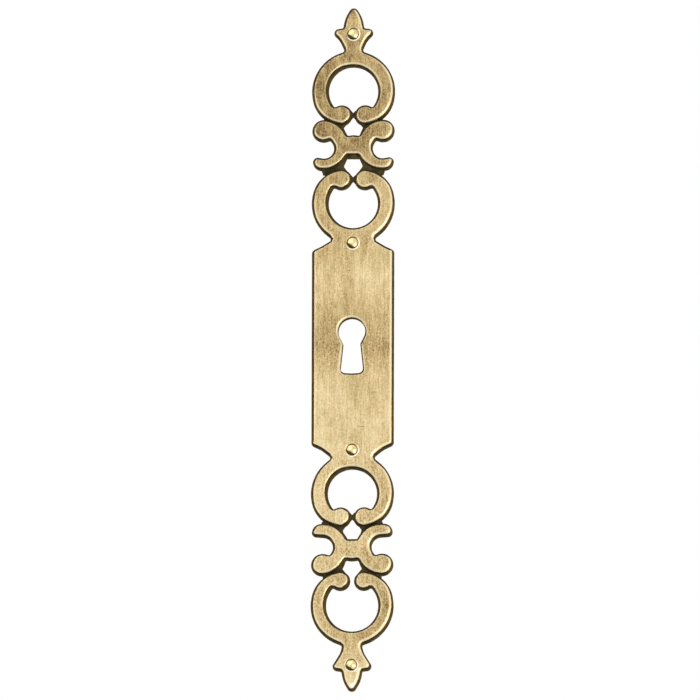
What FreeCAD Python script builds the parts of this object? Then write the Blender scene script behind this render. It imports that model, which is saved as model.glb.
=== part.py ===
"""Pierced keyhole escutcheon: one drafted brass casting and its four domed fixing pins.

Millimetres. X is the width and Z the height; the face looks towards -Y, the back lies in the plane Y = 0
and the origin is the middle of the plate. The lower half is the upper one turned over. Where the two
differ a little, the size says so in its name, and every other size is written for the upper half.
"""

import os
from collections import namedtuple
from math import acos, atan2, cos, hypot, pi, sin, sqrt

import FreeCAD
import Part

Vector = FreeCAD.Vector

# An outline is a belt pulled round pegs. A peg inside the metal has a positive radius and makes a bulge,
# a peg outside it has a negative radius and makes a hollow.
Peg = namedtuple("Peg", "x z r")

# Casting
THICKNESS = 2.8
DRAFT_INSET = 0.45
EDGE_ROUND = 0.5
ROUND_BEVELS = 1
WEB_HEIGHT = 1.2
CREASE_RADIUS = 0.55
SLACK = 0.03

# Middle plate
PLATE_CORNER = Peg(9.75, 25.45, 1.25)
SHOULDER = Peg(11.4, 32.7, -6.0)
UPPER_SHOULDER_RISE = 0.35
NECK_NOTCH_X = 6.45
NECK_NOTCH_Z = 29.62
NOTCH_ROUND = 0.5

# Keyhole
KEY_EYE = Peg(0.0, 4.45, 3.6)
KEY_THROAT = Peg(2.95, 0.85, -0.65)
KEY_FOOT = Peg(1.7, -5.65, 1.3)
KEY_SOLE = Peg(0.0, -1.05, 6.0)
KEY_X = -0.2

# Rings, one each side of every cross scroll, with two rolled ends that nearly meet
RING_OUTER = 11.1
RING_BAND = 4.55
RING_INNER = RING_OUTER - RING_BAND
CUSP_ROUND = 0.4
VOLUTE_RADIUS = 2.85
VOLUTE_GAP = 0.55
VOLUTE_SINK = 1.08
ARM_TIGHTENING = 2.7
VOLUTE_ARM = RING_OUTER - ARM_TIGHTENING
VOLUTE_X = VOLUTE_RADIUS + VOLUTE_GAP / 2
VOLUTE_Z = sqrt((RING_OUTER - VOLUTE_SINK - VOLUTE_RADIUS) ** 2 - VOLUTE_X ** 2)

# Drop of metal where two rolled ends touch: it is narrowest on the middle line
BRIDGE_ROOT = 0.32
BRIDGE_WAIST = 0.55
BRIDGE_FLARE = 1.2

# Heights of the rings and of the cross scroll between them
SCROLL_TO_NEAR_RING = 6.03
SCROLL_TO_FAR_RING = 5.7
NEAR_RING_Z = NECK_NOTCH_Z + sqrt((RING_OUTER + NOTCH_ROUND + SLACK) ** 2 - NECK_NOTCH_X ** 2)
SCROLL_Z = NEAR_RING_Z + VOLUTE_Z + VOLUTE_RADIUS + SCROLL_TO_NEAR_RING
FAR_RING_Z = SCROLL_Z + VOLUTE_Z + VOLUTE_RADIUS + SCROLL_TO_FAR_RING

# Cross scroll, from its own centre. The two halves were finished by hand and differ a little: the arms
# of each stand higher or lower, the waist between them reaches a different way up and down, and the low
# web comes out from under only one of the two waists.
Scroll = namedtuple("Scroll", "lift prong_lift crown_top sole_bottom web_edge")
UPPER_SCROLL = Scroll(0.1, 0.2, 3.3, -2.62, -3.28)
LOWER_SCROLL = Scroll(-0.3, -0.6, 3.0, -3.05, -2.9)
CROWN_ROUND = 4.5
SOLE_ROUND = 9.0
INNER_CORNER = 0.3
PRONG = Peg(9.5, -4.25, 1.3)
HEEL_ROUND = 2.4
LOWER_ARM_ROUND = 6.9
LOWER_ARM_SHIFT = 0.75
HOOK = Peg(7.8, -0.5, -2.6)
BULB = Peg(7.9, 4.25, 3.1)
UPPER_ARM_ROUND = 6.8

# Low webs that fill the crotches between a cross scroll and the rings: corners from the scroll's centre.
# The lower web runs on under the waist.
WAIST_CORNER_X = 1.65
WAIST_MIDDLE_Z = -2.0
LOWER_WEB = ((2.45, -5.05), (2.45, -5.5), (0.7, -7.85), (8.05, -7.65), (8.5, -6.3))
UPPER_WEB = ((0.7, 7.5), (2.6, 5.15), (1.9, 3.6), (8.0, 6.6), (7.8, 7.6))

# Finial, from the outer edge of the far ring
LEAF_TIP = Peg(0.0, 10.3, 1.25)
LEAF_SIDE_X = -5.8
LEAF_SIDE_Z = 5.8
LEAF_NOTCH_Z = 6.5
LEAF_NOTCH_ROUND = 0.4
LOBE = Peg(3.9, 4.7, 1.3)
NECK_SIDE = Peg(7.8, -0.3, -5.0)
NECK_CORNER_X = 3.05

# What the lower finial has more than the upper one: its growth moves the leaf and the lobes away from the
# ring, its spread widens the neck, and slim is what the ring loses on its inside
Finial = namedtuple("Finial", "growth spread slim")
UPPER_FINIAL = Finial(0.0, 0.0, 0.0)
LOWER_FINIAL = Finial(0.65, 0.22, 0.4)

# Fixing pins
FINIAL_HEIGHT = FAR_RING_Z + RING_OUTER
TOP_PIN_ABOVE_RING = 4.13
BOTTOM_PIN_BELOW_RING = 5.37
TOP_PIN_BELOW_NOTCH = 1.32
BOTTOM_PIN_ABOVE_NOTCH = 1.82
PIN_HEIGHTS = {
    "pin_top_finial": FINIAL_HEIGHT + TOP_PIN_ABOVE_RING,
    "pin_top_neck": NECK_NOTCH_Z - TOP_PIN_BELOW_NOTCH,
    "pin_bottom_neck": BOTTOM_PIN_ABOVE_NOTCH - NECK_NOTCH_Z,
    "pin_bottom_finial": -FINIAL_HEIGHT - BOTTOM_PIN_BELOW_RING,
}
HEAD_RADIUS = 1.33
HEAD_RISE = 0.5
HEAD_SEAT_DEPTH = 0.5
SHANK_RADIUS = 0.65
SHANK_LENGTH = 8.0
COLLAR_STEP = 0.2
POINT_LENGTH = 2.2
HEAD_CLEARANCE = 0.12
COLLAR_CLEARANCE = 0.1
SEAT_BEVEL = 0.26


def touching(first, second, inset):
    """The two points where a straight run of belt leaves one peg and reaches the next."""
    here, there = first.r - inset, second.r - inset
    across, up = second.x - first.x, second.z - first.z
    angle = atan2(up, across) + acos((there - here) / hypot(across, up))
    leave = (first.x - here * cos(angle), first.z - here * sin(angle))
    reach = (second.x - there * cos(angle), second.z - there * sin(angle))
    return leave, reach


def belt(pegs, inset, y):
    """Closed wire of arcs and lines round the pegs, taken with the metal on the left.

    A hollow smaller than the crease radius is drawn as two flats.
    """
    following = pegs[1:] + pegs[:1]
    runs = [touching(a, b, inset) for a, b in zip(pegs, following)]
    edges = []
    for peg, before, after in zip(pegs, runs[-1:] + runs[:-1], runs):
        start = atan2(before[1][1] - peg.z, before[1][0] - peg.x)
        end = atan2(after[0][1] - peg.z, after[0][0] - peg.x)
        turn = (end - start) % (2 * pi) if peg.r > 0 else -((start - end) % (2 * pi))
        radius = abs(peg.r - inset)
        middle = start + turn / 2
        crest = (peg.x + radius * cos(middle), peg.z + radius * sin(middle))
        come, top, go, onward = (Vector(x, y, z) for x, z in (before[1], crest, after[0], after[1]))
        if -CREASE_RADIUS < peg.r < 0:
            turn_pieces = [Part.LineSegment(come, top), Part.LineSegment(top, go)]
        else:
            turn_pieces = [Part.Arc(come, top, go)]
        edges += [piece.toShape() for piece in turn_pieces + [Part.LineSegment(go, onward)]]
    return Part.Wire(edges)


def both_sides(pegs):
    """Close a right-hand run of pegs with its left-hand twins; an end on the middle line has no twin."""
    twins = [Peg(-peg.x, peg.z, peg.r) for peg in reversed(pegs)]
    first = 1 if pegs[-1].x == 0 else 0
    last = -1 if pegs[0].x == 0 else len(twins)
    return pegs + twins[first:last]


def raised(pegs, height):
    """Move pegs up by a height."""
    return [Peg(peg.x, peg.z + height, peg.r) for peg in pegs]


def upside_down(pegs):
    """Turn a run of pegs over the X axis and take it the other way, so the metal stays on the left."""
    return [Peg(peg.x, -peg.z, peg.r) for peg in reversed(pegs)]


def meeting(first, reach, second, other_reach):
    """Centre at one distance from the first peg and another from the second, to the right of the line."""
    across, up = second.x - first.x, second.z - first.z
    gap = hypot(across, up)
    along = (reach ** 2 - other_reach ** 2 + gap ** 2) / (2 * gap)
    aside = sqrt(reach ** 2 - along ** 2)
    return first.x + (across * along + up * aside) / gap, first.z + (up * along - across * aside) / gap


def rounded_block(pegs, draft, lean):
    """Block with its front edge rounded in narrow bevels; lean is 1 for metal and -1 for a cutter."""
    sections = [belt(pegs, 0, 0)]
    for step in range(ROUND_BEVELS + 1):
        angle = step / ROUND_BEVELS * pi / 2
        inset = draft + lean * EDGE_ROUND * (1 - cos(angle))
        sections.append(belt(pegs, inset, EDGE_ROUND * (1 - sin(angle)) - THICKNESS))
    return Part.makeLoft(sections, True, True)


def casting(pegs):
    """Block whose walls lean in towards the face and whose front edge is rounded."""
    return rounded_block(pegs, DRAFT_INSET, 1)


def ring_opening(height, slim=0):
    """Pegs of one open ring from its outside, round a rolled end, to the inside of its far wall.

    The rolled ends point up; the ring's own middle is at the height given. Slim is what its band and its
    rolled ends lose towards that middle.
    """
    middle = Peg(0, 0, -RING_INNER - slim)
    volute = Peg(VOLUTE_X, VOLUTE_Z + slim / 2, VOLUTE_RADIUS - slim / 2)
    cusp = meeting(middle, -middle.r - CUSP_ROUND + SLACK, volute, volute.r + CUSP_ROUND + SLACK)
    arm = meeting(middle, RING_OUTER - VOLUTE_ARM + SLACK, volute, VOLUTE_ARM - volute.r + SLACK)
    outside = Peg(0, 0, RING_OUTER)
    pegs = [outside, Peg(*arm, VOLUTE_ARM), volute, Peg(*cusp, -CUSP_ROUND), middle]
    return raised(pegs, height)


def middle_plate():
    """Plate, two necks and the ring on each of them."""
    notch = Peg(NECK_NOTCH_X, NECK_NOTCH_Z, -NOTCH_ROUND)
    lower_shoulder = [PLATE_CORNER, SHOULDER]
    upper_shoulder = raised(lower_shoulder, UPPER_SHOULDER_RISE)
    ring = [notch] + ring_opening(NEAR_RING_Z)
    return casting(both_sides(upside_down(lower_shoulder + ring) + upper_shoulder + ring))


def finial(change):
    """Far ring with the leaf and its two side lobes above it."""
    corner_x = NECK_CORNER_X + change.spread
    corner_z = sqrt((RING_OUTER + NOTCH_ROUND + SLACK) ** 2 - corner_x ** 2) - RING_OUTER
    tip, lobe = raised([LEAF_TIP, LOBE], change.growth)
    side_z = LEAF_SIDE_Z + change.growth
    side_round = hypot(LEAF_SIDE_X, tip.z - side_z) + tip.r - SLACK
    notch_z = LEAF_NOTCH_Z + change.growth
    reach = side_round + LEAF_NOTCH_ROUND + SLACK
    notch_x = LEAF_SIDE_X + sqrt(reach ** 2 - (notch_z - side_z) ** 2)
    leaf = [
        Peg(corner_x, corner_z, -NOTCH_ROUND),
        NECK_SIDE,
        lobe,
        Peg(notch_x, notch_z, -LEAF_NOTCH_ROUND),
        Peg(LEAF_SIDE_X, side_z, side_round),
        tip,
    ]
    pegs = raised(upside_down(ring_opening(0, change.slim)), FAR_RING_Z) + raised(leaf, FINIAL_HEIGHT)
    return casting(both_sides(pegs))


def cross_scroll(scroll):
    """Cross piece with pointed arms towards the plate and round-ended arms away from it."""
    sole = Peg(0, scroll.sole_bottom + SOLE_ROUND, SOLE_ROUND)
    crown = Peg(0, scroll.crown_top - CROWN_ROUND, CROWN_ROUND)
    hook, bulb = raised([HOOK, BULB], scroll.lift)
    prong = raised([PRONG], scroll.prong_lift)[0]
    heel = Peg(prong.x - HEEL_ROUND + prong.r - SLACK, prong.z, HEEL_ROUND)
    arm_rise = sqrt((LOWER_ARM_ROUND - HEEL_ROUND + SLACK) ** 2 - LOWER_ARM_SHIFT ** 2)
    lower_arm = Peg(heel.x - LOWER_ARM_SHIFT, heel.z + arm_rise, LOWER_ARM_ROUND)
    upper_arm = Peg(bulb.x, bulb.z + bulb.r - UPPER_ARM_ROUND - SLACK, UPPER_ARM_ROUND)
    off = INNER_CORNER + SLACK
    low_corner = meeting(sole, sole.r + off, lower_arm, lower_arm.r + off)
    high_corner = meeting(upper_arm, upper_arm.r + off, crown, crown.r + off)
    nook = meeting(bulb, bulb.r + CUSP_ROUND + SLACK, hook, -hook.r - CUSP_ROUND + SLACK)
    pegs = [
        sole,
        Peg(*low_corner, -INNER_CORNER),
        lower_arm,
        heel,
        prong,
        hook,
        Peg(*nook, -CUSP_ROUND),
        bulb,
        upper_arm,
        Peg(*high_corner, -INNER_CORNER),
        crown,
    ]
    return casting(both_sides(raised(pegs, SCROLL_Z)))


def low_plate(corners, height):
    """Flat piece as thick as the webs, with its back in the plane of the casting's back."""
    ring = [Vector(x, 0, height + z) for x, z in corners]
    return Part.Face(Part.makePolygon(ring + ring[:1])).extrude(Vector(0, -WEB_HEIGHT, 0))


def low_webs(scroll):
    """Low fillings on both sides of a scroll, where it meets the rings."""
    waist = [(0, WAIST_MIDDLE_Z), (0, scroll.web_edge), (WAIST_CORNER_X, scroll.web_edge)]
    right = [low_plate(corners, SCROLL_Z) for corners in (waist + list(LOWER_WEB), UPPER_WEB)]
    return right + [web.mirror(Vector(), Vector(1, 0, 0)) for web in right]


def bridge(height):
    """Drop of metal that joins the two rolled ends of a ring."""
    width = VOLUTE_GAP / 2 + BRIDGE_ROOT
    top = [(width, BRIDGE_FLARE), (0, BRIDGE_WAIST), (-width, BRIDGE_FLARE)]
    return low_plate(top + [(-x, -z) for x, z in top], height)


def keyhole():
    """Cutter for the round eye and the flared slot below it, a little to the left of the middle."""
    pegs = both_sides([KEY_SOLE, KEY_FOOT, KEY_THROAT, KEY_EYE])
    return rounded_block(pegs, 0, -1).translated(Vector(KEY_X, 0, 0))


def cylinder_back(radius, start, length, height):
    """Cylinder along +Y from a start depth, at a height on the middle line."""
    return Part.makeCylinder(radius, length, Vector(0, start, height), Vector(0, 1, 0))


def pin_hole(height):
    """Seat for the head, with a bevelled rim, and a hole for the collar."""
    radius = HEAD_RADIUS + HEAD_CLEARANCE
    bore = SHANK_RADIUS + COLLAR_STEP + COLLAR_CLEARANCE
    seat = cylinder_back(radius, -THICKNESS, HEAD_SEAT_DEPTH, height)
    shaft = cylinder_back(bore, -THICKNESS, THICKNESS, height)
    face = Vector(0, -THICKNESS, height)
    rim = Part.makeCone(radius + SEAT_BEVEL, radius, SEAT_BEVEL, face, Vector(0, 1, 0))
    return seat.multiFuse([shaft, rim])


def plate():
    """The whole casting."""
    near_bridge = bridge(NEAR_RING_Z + VOLUTE_Z)
    far_bridge = bridge(FAR_RING_Z - VOLUTE_Z)
    upper = [cross_scroll(UPPER_SCROLL), finial(UPPER_FINIAL), near_bridge, far_bridge]
    lower = [cross_scroll(LOWER_SCROLL), finial(LOWER_FINIAL), near_bridge]
    lower = [piece.mirror(Vector(), Vector(0, 0, 1)) for piece in lower + low_webs(LOWER_SCROLL)]
    body = middle_plate().multiFuse(upper + low_webs(UPPER_SCROLL) + lower).removeSplitter()
    return body.cut([keyhole()] + [pin_hole(height) for height in PIN_HEIGHTS.values()])


def pin(height):
    """Fixing pin: domed head, a collar inside the casting, then the round shank and its four-sided point."""
    under_head = HEAD_SEAT_DEPTH - THICKNESS
    collar = cylinder_back(SHANK_RADIUS + COLLAR_STEP, under_head, -under_head, 0)
    shank = cylinder_back(SHANK_RADIUS, 0, SHANK_LENGTH, 0)
    width = SHANK_RADIUS * sqrt(2)
    point = Part.makeWedge(0, 0, 0, width / 2, width / 2, width, POINT_LENGTH, width, width / 2, width / 2)
    point.translate(Vector(-width / 2, SHANK_LENGTH, -width / 2))
    head = cylinder_back(HEAD_RADIUS, -THICKNESS - HEAD_RISE, HEAD_RISE + HEAD_SEAT_DEPTH, 0)
    dome_round = (HEAD_RADIUS ** 2 + HEAD_RISE ** 2) / (2 * HEAD_RISE)
    dome = Part.makeSphere(dome_round, Vector(0, dome_round - THICKNESS - HEAD_RISE, 0))
    return head.common(dome).multiFuse([collar, shank, point]).translated(Vector(0, 0, height))


os.makedirs("parts", exist_ok=True)
plate().exportStep("parts/plate.step")
for name, height in PIN_HEIGHTS.items():
    pin(height).exportStep("parts/" + name + ".step")
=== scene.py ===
# %% [markdown]
# # A pierced keyhole escutcheon in aged brass
#
# The object is a long brass plate that covers the keyhole of a drawer or a cupboard door. It was cast in one
# piece, dipped in a dark patina and then brushed bright on its face, so the hollows and the side walls stayed
# dark. Four domed brass pins hold it to the wood.
#
# The solid model already has the right outline, so most of this lesson is about finish: how light meets a
# rounded edge, and how one material can be bright metal in front and dark patina behind.

# %% Load the solid model
import math

import bmesh
import bpy
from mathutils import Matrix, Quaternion, Vector


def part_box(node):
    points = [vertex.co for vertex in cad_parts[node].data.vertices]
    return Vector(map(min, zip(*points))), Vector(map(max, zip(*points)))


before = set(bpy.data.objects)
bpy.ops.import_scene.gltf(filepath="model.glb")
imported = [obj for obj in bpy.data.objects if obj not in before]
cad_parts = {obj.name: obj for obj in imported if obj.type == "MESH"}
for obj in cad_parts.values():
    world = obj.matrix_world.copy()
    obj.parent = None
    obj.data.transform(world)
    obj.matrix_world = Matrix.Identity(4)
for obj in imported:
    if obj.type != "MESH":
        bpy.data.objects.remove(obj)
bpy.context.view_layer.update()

MM = 0.001

# %% [markdown]
# ## Arithmetic on shader sockets
#
# A material is a graph of nodes, and most of its nodes only add, multiply or compare. The class below wraps
# one output of a node, so that such sums are written as ordinary Python and each sign adds a Math node.

# %% A wrapped socket
class Signal:
    """One value on its way through a material."""

    def __init__(self, paint, socket):
        self.paint = paint
        self.socket = socket

    def math(self, operation, first, second):
        return self.paint.node("ShaderNodeMath", {"operation": operation}, {0: first, 1: second})

    def __add__(self, other):
        return self.math("ADD", self, other)

    def __sub__(self, other):
        return self.math("SUBTRACT", self, other)

    def __mul__(self, other):
        return self.math("MULTIPLY", self, other)

    def __rsub__(self, other):
        return self.math("SUBTRACT", other, self)

    __radd__ = __add__
    __rmul__ = __mul__


# %% A node graph under construction
class Paint:
    """The graph of a new material, or of the world, with one method that adds any node."""

    def __init__(self, owner):
        owner.use_nodes = True
        self.owner = owner
        self.tree = owner.node_tree
        self.tree.nodes.clear()

    def node(self, kind, settings=None, inputs=None, output=0):
        """Add a node, set it up, fill its inputs with values or links, and give one of its outputs."""
        made = self.tree.nodes.new(kind)
        for name, setting in (settings or {}).items():
            if name == "stops":
                set_stops(made.color_ramp, setting)
            else:
                setattr(made, name, setting)
        for name, value in (inputs or {}).items():
            if isinstance(value, Signal):
                self.tree.links.new(value.socket, made.inputs[name])
            else:
                made.inputs[name].default_value = value
        return Signal(self, made.outputs[output]) if made.outputs else None


def set_stops(ramp, stops):
    """Give a colour ramp its (position, colour) stops."""
    while len(ramp.elements) < len(stops):
        ramp.elements.new(1.0)
    for element, (position, colour) in zip(ramp.elements, stops):
        element.position = position
        element.color = colour


# %% [markdown]
# Colours are easier to think of as they look on a screen, but a shader wants them as amounts of light. One
# small function turns the first kind into the second.

# %% Colours as seen
def seen(red, green, blue):
    """A colour given in screen values from 0 to 255, as the light values that a shader takes."""
    def light(value):
        share = value / 255
        return share / 12.92 if share <= 0.04045 else ((share + 0.055) / 1.055) ** 2.4

    return (light(red), light(green), light(blue), 1.0)


# %% [markdown]
# ## Helpers for patterns
#
# Every pattern is read at the piece's own place in millimetres, so that a size in the material is a size on
# the metal. Stretching the place before it reaches a noise makes streaks, as a wire brush does.

# %% Pattern helpers
def place_in_mm(paint):
    """The point of the surface, in millimetres from the middle of the plate."""
    here = paint.node("ShaderNodeTexCoord", output="Object")
    return paint.node("ShaderNodeVectorMath", {"operation": "SCALE"}, {0: here, "Scale": 1 / MM})


def parts_of(paint, vector):
    """The x, y and z of a vector, as three values."""
    return [paint.node("ShaderNodeSeparateXYZ", {}, {"Vector": vector}, output) for output in range(3)]


def noise(paint, place, across, along, detail=2.0, roughness=0.5, shift=0.0):
    """Cloudy values near 0.5, with blotches of one width across the plate and another along it, in mm."""
    stretched = paint.node("ShaderNodeMapping", {"vector_type": "POINT"}, {
        "Vector": place,
        "Location": (shift, shift, shift),
        "Scale": (1 / across, 1 / across, 1 / along),
    })
    return paint.node("ShaderNodeTexNoise", {}, {
        "Vector": stretched,
        "Scale": 1.0,
        "Detail": detail,
        "Roughness": roughness,
    })


def between(paint, value, start, end, rise="SMOOTHSTEP"):
    """0 below start, 1 above end and a smooth rise between them. It falls instead if end is the smaller."""
    return paint.node("ShaderNodeMapRange", {"interpolation_type": rise}, {
        "Value": value,
        "From Min": start,
        "From Max": end,
    })


def blend(paint, share, first, second):
    """A colour that goes from the first to the second as the share goes from 0 to 1."""
    return paint.node("ShaderNodeMix", {"data_type": "RGBA"}, {0: share, 6: first, 7: second}, output=2)


# %% [markdown]
# ## Aged brass
#
# The face is brushed metal and the rest is a dark skin, so the depth below the face tells the two apart,
# and noise frays the line between them. A second reading of the surface, with its edges softened, tells
# which way each edge turns. The first turn of every edge is a pale line, partly real polish and partly a
# painted highlight. On edges that face up or left the skin comes nearer to the face as painted shade, and
# on the left inside the rings it also comes nearer to the face.
#
# The metal's colour runs from straw to a dull brown where more patina stayed.

# %% Colours of the casting
PALE_BRASS = seen(233, 217, 177)
STRAW = seen(226, 204, 158)
BRASS = seen(197, 172, 123)
TAN = seen(156, 131, 88)
UMBER = seen(102, 80, 48)
OLIVE = seen(158, 148, 96)
# The pale line on the edges: polished metal with a painted highlight on it.
WORN_EDGE_AND_HIGHLIGHT = seen(249, 233, 190)
# The colour of the painted highlights on the seat rings and on the lower leaf.
PAINTED_GLINT = seen(255, 248, 226)
PATINA = seen(86, 76, 49)
PATINA_DEEP = seen(50, 45, 30)
PATINA_BROWN = seen(94, 70, 34)
OXIDE = seen(146, 118, 70)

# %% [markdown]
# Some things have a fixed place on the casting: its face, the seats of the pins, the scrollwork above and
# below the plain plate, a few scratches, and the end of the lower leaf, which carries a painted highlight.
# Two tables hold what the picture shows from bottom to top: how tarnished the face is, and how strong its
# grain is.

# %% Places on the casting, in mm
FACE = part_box("plate")[0].y / MM
PIN_ENDS = {name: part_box(name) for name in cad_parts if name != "plate"}
PIN_HEIGHTS = {name: (low.z + high.z) / 2 / MM for name, (low, high) in PIN_ENDS.items()}
SEAT_RADIUS = 1.71
EDGE_SOFTNESS = 0.65
SCROLLWORK_START = 25.3
SCROLLWORK_FULL = 31.6
# Where the painted highlight on the end of the lower leaf begins, in mm.
LEAF_GLINT_HEIGHT = -91.3
SCRATCHES = [(5.4, -12.4, 40, 1.6), (0.9, -54.2, 78, 1.9), (2.6, -21.5, -86, 3.4), (-3.4, 16.8, 8, 1.5)]
TARNISH_ALONG = [
    (-93, 0.10), (-85, 0.30), (-79, 0.56), (-70, 0.55), (-54, 0.44), (-40, 0.41), (-18, 0.33), (-9, 0.41),
    (1, 0.64), (11, 0.47), (19, 0.35), (30, 0.49), (40, 0.49), (54, 0.74), (68, 0.73), (79, 0.71), (89, 0.43),
    (90.5, 0.7), (91.5, 1.0)]
GRAIN_ALONG = [
    (-93, 1.6), (-60, 2.4), (-32, 2.0), (-20, 1.2), (-9, 1.3), (0, 1.9), (9, 1.5), (20, 1.3), (60, 1.5),
    (93, 1.5)]
print("face at", round(FACE, 2), "and pins at", [round(height, 1) for height in PIN_HEIGHTS.values()])


# %% [markdown]
# A table becomes a ramp of greys over the height, and the ramp draws straight lines between its rows.

# %% Values by height
def by_height(paint, z, table):
    """Read a table of heights in mm and values at the height z, with straight lines between its rows."""
    low, high = table[0][0], table[-1][0]
    stops = [((height - low) / (high - low), (value, value, value, 1.0)) for height, value in table]
    share = between(paint, z, low, high, "LINEAR")
    return paint.node("ShaderNodeValToRGB", {"stops": stops}, {"Fac": share})


# %% [markdown]
# A few marks are too distinct to leave to chance. Each is a long thin ellipse: the place is moved, turned and
# stretched so that the ellipse becomes a circle of radius one.

# %% Scratches
SCRATCH_HALF_WIDTH = 0.12


def scratch(paint, place, x, z, lean, length):
    """A short fine line on the face: its middle in mm, its lean from upright in degrees and its length."""
    turned = paint.node("ShaderNodeMapping", {"vector_type": "TEXTURE"}, {
        "Vector": place,
        "Location": (x, 0.0, z),
        "Rotation": (0.0, math.radians(lean), 0.0),
        "Scale": (SCRATCH_HALF_WIDTH, 1.0, length / 2),
    })
    across, _, along = parts_of(paint, turned)
    return between(paint, across * across + along * along, 1.0, 0.1)


# %% [markdown]
# Every layer of the material reads the same patterns, so a small class makes them once: the place, how far
# each edge turns to the right, to the back and up, and six noises from fine brush lines to broad clouds.

# %% Patterns of the casting
class CastingPatterns:
    """The place, the turn of the edges and the noises that the layers of the casting share."""

    def __init__(self, paint):
        self.place = place_in_mm(paint)
        self.x, y, self.z = parts_of(paint, self.place)
        self.depth = y - FACE
        self.scrollwork = between(paint, self.z * self.z, SCROLLWORK_START ** 2, SCROLLWORK_FULL ** 2)
        self.rounded = paint.node("ShaderNodeBevel", {"samples": 6}, {"Radius": EDGE_SOFTNESS * MM})
        self.right, self.back, self.up = parts_of(paint, self.rounded)
        self.brushing = noise(paint, self.place, 0.13, 2.6, detail=3.0)
        self.streaks = noise(paint, self.place, 0.6, 20.0, detail=3.0, shift=7.0)
        self.clouds = noise(paint, self.place, 4.0, 8.0, detail=3.0, shift=31.0)
        self.mottle = noise(paint, self.place, 0.32, 0.5, detail=4.0, roughness=0.75, shift=3.0)
        self.cast = noise(paint, self.place, 1.6, 3.0, detail=3.0, roughness=0.6, shift=83.0)
        self.blotches = noise(paint, self.place, 2.0, 2.6, detail=5.0, roughness=0.65, shift=19.0)


# %% [markdown]
# The brushed face comes first. Its tarnish picks a colour from a ramp, an olive tint lies over that in
# patches, and pits and scratches hold brown dirt.

# %% The brushed face
def tarnish_of(paint, on):
    """How dull the face is, with 0 for pale and 1 for brown."""
    tarnish = by_height(paint, on.z, TARNISH_ALONG) - on.x * on.z * 0.00013
    tarnish = tarnish + (on.clouds - 0.5) * 0.5 + (on.streaks - 0.5) * (0.4 - on.scrollwork * 0.2)
    tarnish = tarnish - (on.cast - 0.5) * on.scrollwork * 0.7
    return tarnish + (on.mottle - 0.5) * by_height(paint, on.z, GRAIN_ALONG) + (on.brushing - 0.5) * 0.85


def marks_of(paint, on):
    """1 in the pits and on the scratches."""
    pits = noise(paint, on.place, 0.34, 0.42, detail=1.0, shift=57.0)
    marks = between(paint, pits + (on.clouds - 0.5) * 0.25 + on.scrollwork * 0.02, 0.7, 0.76)
    for x, z, lean, length in SCRATCHES:
        marks = marks + scratch(paint, on.place, x, z, lean, length)
    return marks


def face_metal(paint, on, tarnish, marks):
    """The colour of the brushed face."""
    metal = paint.node("ShaderNodeValToRGB", {"stops": [
        (0.0, PALE_BRASS), (0.22, STRAW), (0.5, BRASS), (0.78, TAN), (1.0, UMBER)]}, {"Fac": tarnish})
    metal = blend(paint, between(paint, on.cast, 0.42, 0.75) * 0.35, metal, OLIVE)
    return blend(paint, marks * 0.7, metal, UMBER)


# %% [markdown]
# Each pin lies in a small round seat. Dirt darkens the seat, apart from a lip at its low right that the brush
# polished.

# %% The seats of the pins
def pin_seats(paint, on):
    """1 inside the seats, which are painted darker, and 1 on the rings at their low right, where a highlight
    is painted.
    """
    seat, seat_ring_glint = 0.0, 0.0
    for height in PIN_HEIGHTS.values():
        above = on.z - height
        away = on.x * on.x + above * above
        # The painted highlight lies on the low right of each seat's ring.
        low_right = between(paint, on.x * 0.6 - above * 0.8, -1.0, 0.4)
        round_seat = between(paint, away, (SEAT_RADIUS + 0.22) ** 2, (SEAT_RADIUS + 0.08) ** 2)
        seat = between(paint, away, (SEAT_RADIUS + 0.06) ** 2, (SEAT_RADIUS - 0.02) ** 2) + seat
        seat_ring_glint = round_seat * low_right + seat_ring_glint
    return seat, seat_ring_glint


# %% [markdown]
# The edges are painted by the way they face. On those that face up or left the skin comes nearer to the face
# as painted shade, and on those that face right it draws back a little as painted light. On the left inside
# of each ring the skin comes nearer as well. The seats keep out of this.

# %% Worn edges, with painted light and shade
def edge_wear_and_painted_light(paint, on, seat):
    """How bright the pale line of the edges is, part polish and part painted highlight, and how far the skin
    reaches onto them in mm, with painted shade where they face up or left.
    """
    # Painted shade: edges that face up or left get the dark skin nearer to the face.
    painted_lee_shade = between(paint, on.up - on.right * 0.5, 0.0, 0.5) * (1 - seat)
    # Painted light: edges that face right keep the skin back a little.
    painted_windward_light = between(paint, on.right, 0.2, 0.6) * (1 - seat)
    hollow = between(paint, on.right, 0.1, 0.45) * between(paint, on.x, 0.0, -3.0) * on.scrollwork
    # The pale line on the first turn of each edge: polish with a painted highlight.
    worn_rim_and_highlight = between(paint, on.back, -0.995, -0.91) * (1 - seat) * (1 - painted_lee_shade * 0.5 - hollow * 0.4)
    return worn_rim_and_highlight, painted_lee_shade * 0.4 - painted_windward_light * 0.06 + hollow * 0.3


# %% [markdown]
# The dark skin covers all that lies far enough below the face. It is brown on the sides, blotched with
# oxide on the back, and worn through in places along the edges of the back.

# %% The dark skin
def dark_skin(paint, on, frayed):
    """How far the skin covers the metal, and its colour, from a depth with a frayed line."""
    back_edge = between(paint, on.back, 0.1, 0.4) * between(paint, on.back, 0.97, 0.85)
    bare = back_edge * between(paint, on.blotches + (on.mottle - 0.5) * 0.5, 0.42, 0.6) * 0.8
    behind = between(paint, on.back, 0.3, 0.9)
    colour = blend(paint, between(paint, frayed + on.mottle, 1.2, 3.0), PATINA_DEEP, PATINA)
    colour = blend(paint, between(paint, on.right * on.right, 0.2, 0.7), colour, PATINA_BROWN)
    colour = blend(paint, between(paint, on.blotches, 0.46, 0.64) * (behind * 0.6 + 0.15), colour, OXIDE)
    colour = blend(paint, between(paint, on.mottle + on.blotches, 1.02, 0.8) * 0.7, colour, PATINA_DEEP)
    return between(paint, frayed, 0.32, 0.42) * (1 - bare), colour
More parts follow.
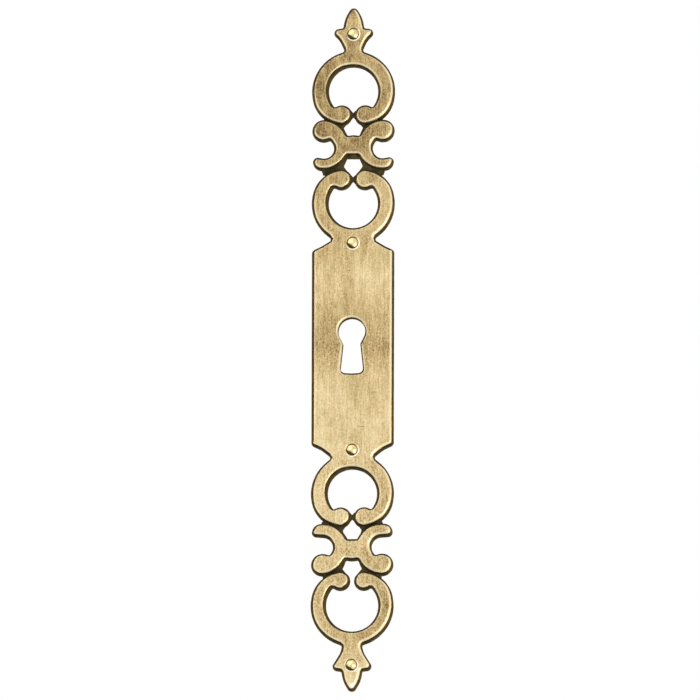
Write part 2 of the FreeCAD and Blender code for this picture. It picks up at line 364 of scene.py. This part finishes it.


# %% [markdown]
# The material puts these together: the metal with its darker seats, its edges with their pale line of
# polish and painted highlight, the painted highlights on the seat rings and the lower leaf, the skin over
# it with painted shade on edges that face up or left, and one relief under both.

# %% The casting's material
def aged_brass():
    """Brushed brass in front and dark patina in the hollows, on the sides and behind."""
    paint = Paint(bpy.data.materials.new("aged_brass"))
    on = CastingPatterns(paint)
    tarnish = tarnish_of(paint, on)
    marks = marks_of(paint, on)
    seat, seat_ring_glint = pin_seats(paint, on)
    worn_rim_and_highlight, skin_reach_and_painted_shade = edge_wear_and_painted_light(paint, on, seat)
    # Painted highlight on the end of the lower leaf.
    leaf_end_glint = between(paint, on.z + on.mottle, LEAF_GLINT_HEIGHT + 1.2, LEAF_GLINT_HEIGHT)
    metal = face_metal(paint, on, tarnish, marks)
    # The seats are painted darker, all but the ring at their low right, which gets a painted highlight.
    metal = blend(paint, seat * (1 - seat_ring_glint) * 0.5, metal, UMBER)
    # The edges' pale line: polish with a painted highlight.
    metal = blend(paint, worn_rim_and_highlight * (on.mottle * 0.7 + 0.55), metal, WORN_EDGE_AND_HIGHLIGHT)
    metal = blend(paint, seat_ring_glint, metal, PAINTED_GLINT)
    metal = blend(paint, leaf_end_glint * 0.8, metal, PAINTED_GLINT)
    # The skin's reach includes painted shade on the edges that face up or left.
    skin, skin_colour = dark_skin(paint, on, on.depth + (on.mottle - 0.5) * 0.3 + skin_reach_and_painted_shade)

    relief = on.brushing * 0.5 + on.streaks * 0.35 + on.mottle * 0.3 - marks * 0.8 + skin * on.blotches
    bump = paint.node("ShaderNodeBump", {}, {
        "Height": relief,
        "Strength": 0.25,
        "Distance": 0.05 * MM,
        "Normal": on.rounded,
    })
    brass = paint.node("ShaderNodeBsdfPrincipled", {}, {
        "Base Color": metal,
        "Metallic": 1.0,
        "Roughness": tarnish * 0.12 + (on.mottle - 0.5) * 0.2 - worn_rim_and_highlight * 0.06 + 0.38,
        "Normal": bump,
    })
    dull = paint.node("ShaderNodeBsdfPrincipled", {}, {
        "Base Color": skin_colour,
        "Metallic": 0.0,
        "Roughness": 0.7,
        "Specular IOR Level": 0.0,
        "Normal": bump,
    })
    both = paint.node("ShaderNodeMixShader", {}, {0: skin, 1: brass, 2: dull})
    paint.node("ShaderNodeOutputMaterial", {}, {"Surface": both})
    return paint.owner


casting_finish = aged_brass()
print(casting_finish.name, "has", len(casting_finish.node_tree.nodes), "nodes")

# %% [markdown]
# ## Pin brass
#
# The pins are bare brass, paler and shinier than the casting. Each has painted shade on the low left of its
# dome, so the material reads how far a point lies from its own pin's middle.

# %% The pins' material
PIN_GOLD = seen(243, 226, 172)
PIN_WORN = seen(215, 187, 122)
# The colour of the painted shade on the pins.
PIN_PAINTED_SHADE = seen(84, 68, 32)


def pin_brass(height):
    """The brass of the pin whose middle is at this height in mm."""
    paint = Paint(bpy.data.materials.new("pin_brass"))
    place = place_in_mm(paint)
    x, _, z = parts_of(paint, place)
    smudge = noise(paint, place, 0.6, 0.6, detail=3.0, shift=11.0)
    fine = noise(paint, place, 0.12, 0.12, detail=2.0, shift=5.0)
    gold = blend(paint, between(paint, smudge, 0.35, 0.7), PIN_GOLD, PIN_WORN)
    low_left = (height - z) * 0.85 - x * 0.5 + (smudge - 0.5) * 0.5
    # Painted shade: a dark crescent on the low left of the dome.
    pin_painted_shade = between(paint, low_left, 0.6, 0.85)
    bump = paint.node("ShaderNodeBump", {}, {"Height": fine, "Strength": 0.15, "Distance": 0.02 * MM})
    surface = paint.node("ShaderNodeBsdfPrincipled", {}, {
        "Base Color": blend(paint, pin_painted_shade, gold, PIN_PAINTED_SHADE),
        "Metallic": 1.0,
        "Roughness": smudge * 0.2 + 0.18,
        "Normal": bump,
    })
    paint.node("ShaderNodeOutputMaterial", {}, {"Surface": surface})
    return paint.owner


# %% [markdown]
# ## Rounding the solid model
#
# The solid model has its rounded edges cut as narrow bevels. Merging its loose triangles, dissolving the flat
# ones and bevelling what is left a second time makes them truly round, and the weighted normals keep the
# flat face flat while light rolls over the edge.

# %% Finish the solid pieces
EDGE_ROUND = 0.13 * MM


def round_edges(piece, width):
    """Turn a solid's bevels into rounded edges without touching its mesh."""
    weld = piece.modifiers.new("Merge the triangles", "WELD")
    weld.merge_threshold = 0.001 * MM
    flat = piece.modifiers.new("Join the flat faces", "DECIMATE")
    flat.decimate_type = "DISSOLVE"
    flat.angle_limit = math.radians(0.5)
    bevel = piece.modifiers.new("Round the edges", "BEVEL")
    bevel.width = width
    bevel.segments = 2
    bevel.limit_method = "ANGLE"
    bevel.angle_limit = math.radians(25)
    normals = piece.modifiers.new("Even out the normals", "WEIGHTED_NORMAL")
    normals.keep_sharp = False


def finish_with(piece, material):
    """Give every slot of a solid piece the same material."""
    for slot in piece.material_slots:
        slot.link = "OBJECT"
        slot.material = material


for name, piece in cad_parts.items():
    for polygon in piece.data.polygons:
        polygon.use_smooth = True
    if name == "plate":
        round_edges(piece, EDGE_ROUND)
        finish_with(piece, casting_finish)
    else:
        finish_with(piece, pin_brass(PIN_HEIGHTS[name]))
    print(name, "has", len(piece.data.polygons), "triangles")

# %% [markdown]
# ## Camera
#
# The picture was taken from below the middle of the plate and a touch from the right, from so far away that
# nothing converges. An orthographic camera has exactly that view, and its scale is the picture's width in
# metres.

# %% Place the camera
VIEW_WIDTH = 186.5 * MM
AZIMUTH = math.radians(3.05)
ELEVATION = math.radians(-10.5)
ROLL = math.radians(0.17)
LOOK_LEFT = 0.77 * MM
LOOK_DOWN = 0.27 * MM
DISTANCE = 0.6

towards = Vector((
    math.sin(AZIMUTH) * math.cos(ELEVATION),
    -math.cos(AZIMUTH) * math.cos(ELEVATION),
    math.sin(ELEVATION),
))
turn = towards.to_track_quat("Z", "Y") @ Quaternion((0, 0, 1), ROLL)
aside = turn @ Vector((1, 0, 0)) * LOOK_LEFT
below = turn @ Vector((0, 1, 0)) * LOOK_DOWN
lens = bpy.data.cameras.new("camera")
lens.type = "ORTHO"
lens.ortho_scale = VIEW_WIDTH
camera = bpy.data.objects.new("camera", lens)
camera.rotation_mode = "QUATERNION"
camera.rotation_quaternion = turn
camera.location = towards * DISTANCE - aside - below
bpy.context.scene.collection.objects.link(camera)
bpy.context.scene.camera = camera
print("camera at, mm:", [round(value / MM) for value in camera.location])

# %% [markdown]
# ## Studio
#
# Small metal goods are lit by large soft sources. The world is a white tent that the camera and the metal
# both see, though it lights the dull skin a little less. A lamp low on the right puts the small highlight
# on each pin and brightens the edges that face it, and a larger one above on the left fills the other side.

# %% Lamps
def soft_lamp(name, place, size, power):
    """A square lamp aimed at the middle of the plate."""
    data = bpy.data.lights.new(name, "AREA")
    data.size = size
    data.energy = power
    lamp = bpy.data.objects.new(name, data)
    lamp.location = place
    lamp.rotation_euler = Vector(place).to_track_quat("Z", "Y").to_euler()
    bpy.context.scene.collection.objects.link(lamp)


soft_lamp("low right lamp", (0.32, -0.42, -0.2), 0.32, 1.6)
soft_lamp("high left lamp", (-0.4, -0.5, 0.45), 0.9, 2.2)

# %% World
TENT_LIGHT = 0.7

tent = Paint(bpy.data.worlds.new("white tent"))
bpy.context.scene.world = tent.owner
camera_ray, glossy_ray, through_ray = (
    tent.node("ShaderNodeLightPath", output=kind)
    for kind in ("Is Camera Ray", "Is Glossy Ray", "Is Transmission Ray"))
white = (camera_ray + glossy_ray + through_ray) * (1 - TENT_LIGHT) + TENT_LIGHT
sky = tent.node("ShaderNodeBackground", {}, {"Color": (1, 1, 1, 1), "Strength": white})
tent.node("ShaderNodeOutputWorld", {}, {"Surface": sky})
print("tent lights dull surfaces at", TENT_LIGHT)

# %% [markdown]
# The floor lies below the camera, which looks slightly upwards, so the main picture shows only the tent.
# Views from above show the floor and the shadow on it. Metal that mirrors the floor sees it as white as the
# tent.

# %% Floor
FLOOR_DEPTH = -0.26
FLOOR_SIZE = 3.0

floor_shape = bmesh.new()
bmesh.ops.create_grid(floor_shape, x_segments=1, y_segments=1, size=FLOOR_SIZE)
bmesh.ops.translate(floor_shape, verts=floor_shape.verts, vec=(0, 0, FLOOR_DEPTH))
floor_mesh = bpy.data.meshes.new("floor")
floor_shape.to_mesh(floor_mesh)
floor_shape.free()
floor = bpy.data.objects.new("floor", floor_mesh)
bpy.context.scene.collection.objects.link(floor)
ground = Paint(bpy.data.materials.new("pale_floor"))
pale = ground.node("ShaderNodeBsdfPrincipled", {}, {"Base Color": (0.9, 0.9, 0.9, 1), "Roughness": 0.8})
glow = ground.node("ShaderNodeEmission", {}, {"Color": (1, 1, 1, 1), "Strength": 1.0})
mirrored = ground.node("ShaderNodeLightPath", output="Is Glossy Ray")
ground_look = ground.node("ShaderNodeMixShader", {}, {0: mirrored, 1: pale, 2: glow})
ground.node("ShaderNodeOutputMaterial", {}, {"Surface": ground_look})
floor_mesh.materials.append(ground.owner)

# %% Finish
bpy.context.scene.view_settings.view_transform = "Standard"
